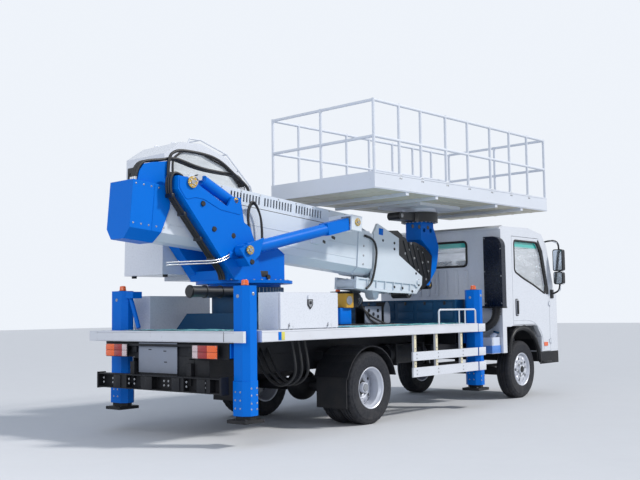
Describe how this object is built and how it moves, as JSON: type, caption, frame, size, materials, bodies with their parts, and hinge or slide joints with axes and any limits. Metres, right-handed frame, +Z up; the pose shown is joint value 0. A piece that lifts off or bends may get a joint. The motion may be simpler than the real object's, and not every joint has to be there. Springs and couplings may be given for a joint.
{
  "type": "cherry picker truck",
  "caption": "Cab-over cherry picker truck with a telescopic boom on a turntable, an operator cab, four outriggers and a long railed work platform.",
  "frame": {"origin": "centre of the bounding box on the ground under the tyres", "axes": "+X to the front of the truck, +Y to its left, +Z up"},
  "size_m": [6.7059, 2.22, 3.42],
  "materials": {
    "truck_white": "satin",
    "boom_white": "satin",
    "machine_blue": "satin",
    "chassis_grey": "matte",
    "lamp_amber": "gloss",
    "rod_chrome": "polished",
    "window_glass": "gloss",
    "tyre_rubber": "matte",
    "rim_silver": "satin"
  },
  "bodies": {
    "chassis": {"chassis_frame": "chassis_grey", "deck": "truck_white", "rear_bumper": "chassis_grey", "tail_lamps": "lamp_amber", "deck_locker": "chassis_grey", "boom_rest": "machine_blue", "engine_block": "chassis_grey", "front_suspension": "chassis_grey", "rear_suspension": "chassis_grey", "cab_shell": "truck_white", "windscreen": "window_glass", "cab_interior": "chassis_grey", "intake_duct": "chassis_grey", "fluid_tank": "truck_white", "front_bumper": "chassis_grey", "slew_motor": "chassis_grey", "pedestal": "chassis_grey", "side_guard_left": "truck_white", "side_guard_right": "truck_white", "toolbox_left": "truck_white", "toolbox_right": "truck_white"},
    "turret": {"turret_frame": "machine_blue", "turret_hoses": "chassis_grey", "operator_cab": "truck_white", "operator_seat": "chassis_grey"},
    "operator_door": {"operator_door": "truck_white"},
    "boom": {"boom_base": "boom_white", "boom_tail_cover": "machine_blue", "boom_hoses": "chassis_grey"},
    "middle_section": {"boom_middle": "boom_white"},
    "fly_section": {"boom_fly": "boom_white"},
    "lift_barrel": {"lift_barrel": "machine_blue"},
    "lift_rod": {"lift_rod": "rod_chrome"},
    "levelling_barrel": {"levelling_barrel": "machine_blue"},
    "levelling_rod": {"levelling_rod": "rod_chrome"},
    "bracket": {"platform_bracket": "machine_blue", "platform_rotator": "chassis_grey"},
    "platform": {"platform": "boom_white"},
    "knuckle_left": {"steering_knuckle_left": "chassis_grey"},
    "knuckle_right": {"steering_knuckle_right": "chassis_grey"},
    "front_wheel_left": {"front_tyre_left": "tyre_rubber", "front_rim_left": "rim_silver"},
    "front_wheel_right": {"front_tyre_right": "tyre_rubber", "front_rim_right": "rim_silver"},
    "rear_wheels_left": {"rear_tyres_left": "tyre_rubber", "rear_rims_left": "rim_silver"},
    "rear_wheels_right": {"rear_tyres_right": "tyre_rubber", "rear_rims_right": "rim_silver"},
    "cab_door_left": {"cab_door_left": "truck_white"},
    "cab_door_right": {"cab_door_right": "truck_white"},
    "toolbox_door_left": {"toolbox_door_left": "truck_white"},
    "toolbox_door_right": {"toolbox_door_right": "truck_white"},
    "leg_rear_right": {"outrigger_leg_rear_right": "machine_blue"},
    "jack_rear_right": {"outrigger_jack_rear_right": "chassis_grey"},
    "leg_rear_left": {"outrigger_leg_rear_left": "machine_blue"},
    "jack_rear_left": {"outrigger_jack_rear_left": "chassis_grey"},
    "leg_front_left": {"outrigger_leg_front_left": "machine_blue"},
    "jack_front_left": {"outrigger_jack_front_left": "chassis_grey"},
    "leg_front_right": {"outrigger_leg_front_right": "machine_blue"},
    "jack_front_right": {"outrigger_jack_front_right": "chassis_grey"}
  },
  "joints": [
    {"name": "slew", "type": "hinge", "parent": "chassis", "child": "turret", "pos_m": [-1.823, 0, 1.433], "axis": [0, 0, 1], "continuous": true},
    {"name": "operator_door", "type": "hinge", "parent": "turret", "child": "operator_door", "pos_m": [-2.40601, 1.02426, 2.1], "axis": [0, 0, 1], "range_deg": [0, 70]},
    {"name": "boom_lift", "type": "hinge", "parent": "turret", "child": "boom", "pos_m": [-2.76943, 0.05457, 2.358], "axis": [-0.0576, -0.9983, 0], "range_deg": [0, 80]},
    {"name": "lift_barrel_swing", "type": "hinge", "parent": "turret", "child": "lift_barrel", "pos_m": [-2.2234, -0.37758, 1.742], "axis": [-0.0576, -0.9983, 0], "range_deg": [0, 76.15]},
    {"name": "lift_rod_slide", "type": "slide", "parent": "lift_barrel", "child": "lift_rod", "axis": [0.9729, -0.0561, 0.2242], "range_m": [0, 1.0707]},
    {"name": "levelling_barrel_swing", "type": "hinge", "parent": "turret", "child": "levelling_barrel", "pos_m": [-2.23467, -0.22568, 2.23], "axis": [-0.0576, -0.9983, 0], "range_deg": [-0.1, 0.4]},
    {"name": "levelling_rod_slide", "type": "slide", "parent": "levelling_barrel", "child": "levelling_rod", "axis": [-0.8986, 0.0518, 0.4356], "range_m": [0, 0.2079]},
    {"name": "boom_extend", "type": "slide", "parent": "boom", "child": "middle_section", "axis": [0.9945, -0.0573, -0.0872], "range_m": [0, 1.801]},
    {"name": "fly_extend", "type": "slide", "parent": "middle_section", "child": "fly_section", "axis": [0.9945, -0.0573, -0.0872], "range_m": [0, 1.801]},
    {"name": "platform_levelling", "type": "hinge", "parent": "fly_section", "child": "bracket", "pos_m": [0.87252, -0.15542, 1.49], "axis": [-0.0576, -0.9983, 0], "range_deg": [-80, 0]},
    {"name": "platform_swing", "type": "hinge", "parent": "bracket", "child": "platform", "pos_m": [1.14207, -0.17097, 2.363], "axis": [0, 0, 1], "range_deg": [-90, 90]},
    {"name": "steer_left", "type": "hinge", "parent": "chassis", "child": "knuckle_left", "pos_m": [2.413, 0.65, 0.38], "axis": [0, 0, 1], "range_deg": [-30, 30]},
    {"name": "front_wheel_spin_left", "type": "hinge", "parent": "knuckle_left", "child": "front_wheel_left", "pos_m": [2.413, 0.775, 0.367], "axis": [0, 1, 0], "continuous": true},
    {"name": "rear_wheel_spin_left", "type": "hinge", "parent": "chassis", "child": "rear_wheels_left", "pos_m": [-0.947, 0.732, 0.367], "axis": [0, 1, 0], "continuous": true},
    {"name": "cab_door_left", "type": "hinge", "parent": "chassis", "child": "cab_door_left", "pos_m": [3.119, 0.939, 1.2], "axis": [0, 0, -1], "range_deg": [0, 65]},
    {"name": "toolbox_door_left", "type": "hinge", "parent": "chassis", "child": "toolbox_door_left", "pos_m": [-2.007, 1.032, 1.002], "axis": [-1, 0, 0], "range_deg": [0, 90]},
    {"name": "steer_right", "type": "hinge", "parent": "chassis", "child": "knuckle_right", "pos_m": [2.413, -0.65, 0.38], "axis": [0, 0, 1], "range_deg": [-30, 30]},
    {"name": "front_wheel_spin_right", "type": "hinge", "parent": "knuckle_right", "child": "front_wheel_right", "pos_m": [2.413, -0.775, 0.367], "axis": [0, 1, 0], "continuous": true},
    {"name": "rear_wheel_spin_right", "type": "hinge", "parent": "chassis", "child": "rear_wheels_right", "pos_m": [-0.947, -0.732, 0.367], "axis": [0, 1, 0], "continuous": true},
    {"name": "cab_door_right", "type": "hinge", "parent": "chassis", "child": "cab_door_right", "pos_m": [3.119, -0.939, 1.2], "axis": [0, 0, 1], "range_deg": [0, 65]},
    {"name": "toolbox_door_right", "type": "hinge", "parent": "chassis", "child": "toolbox_door_right", "pos_m": [-2.007, -1.032, 1.002], "axis": [1, 0, 0], "range_deg": [0, 90]},
    {"name": "outrigger_rear_right", "type": "slide", "parent": "chassis", "child": "leg_rear_right", "axis": [0, -1, 0], "range_m": [0, 0.75]},
    {"name": "jack_rear_right", "type": "slide", "parent": "leg_rear_right", "child": "jack_rear_right", "axis": [0, 0, -1], "range_m": [0, 0.4]},
    {"name": "outrigger_rear_left", "type": "slide", "parent": "chassis", "child": "leg_rear_left", "axis": [0, 1, 0], "range_m": [0, 0.75]},
    {"name": "jack_rear_left", "type": "slide", "parent": "leg_rear_left", "child": "jack_rear_left", "axis": [0, 0, -1], "range_m": [0, 0.4]},
    {"name": "outrigger_front_left", "type": "slide", "parent": "chassis", "child": "leg_front_left", "axis": [0, 1, 0], "range_m": [0, 0.75]},
    {"name": "jack_front_left", "type": "slide", "parent": "leg_front_left", "child": "jack_front_left", "axis": [0, 0, -1], "range_m": [0, 0.4]},
    {"name": "outrigger_front_right", "type": "slide", "parent": "chassis", "child": "leg_front_right", "axis": [0, -1, 0], "range_m": [0, 0.75]},
    {"name": "jack_front_right", "type": "slide", "parent": "leg_front_right", "child": "jack_front_right", "axis": [0, 0, -1], "range_m": [0, 0.4]}
  ],
  "couplings": [
    {"joint": "lift_barrel_swing", "follows": "boom_lift", "ratio": 0.94942},
    {"joint": "lift_rod_slide", "follows": "boom_lift", "m_per_rad": 0.76539},
    {"joint": "levelling_barrel_swing", "follows": "boom_lift", "ratio": 0.003727},
    {"joint": "levelling_rod_slide", "follows": "boom_lift", "m_per_rad": 0.14744},
    {"joint": "platform_levelling", "follows": "boom_lift", "ratio": -1},
    {"joint": "boom_extend", "follows": "boom_lift", "m_per_rad": 1.2892},
    {"joint": "fly_extend", "follows": "boom_lift", "m_per_rad": 1.2892},
    {"joint": "steer_right", "follows": "steer_left", "ratio": 1}
  ]
}
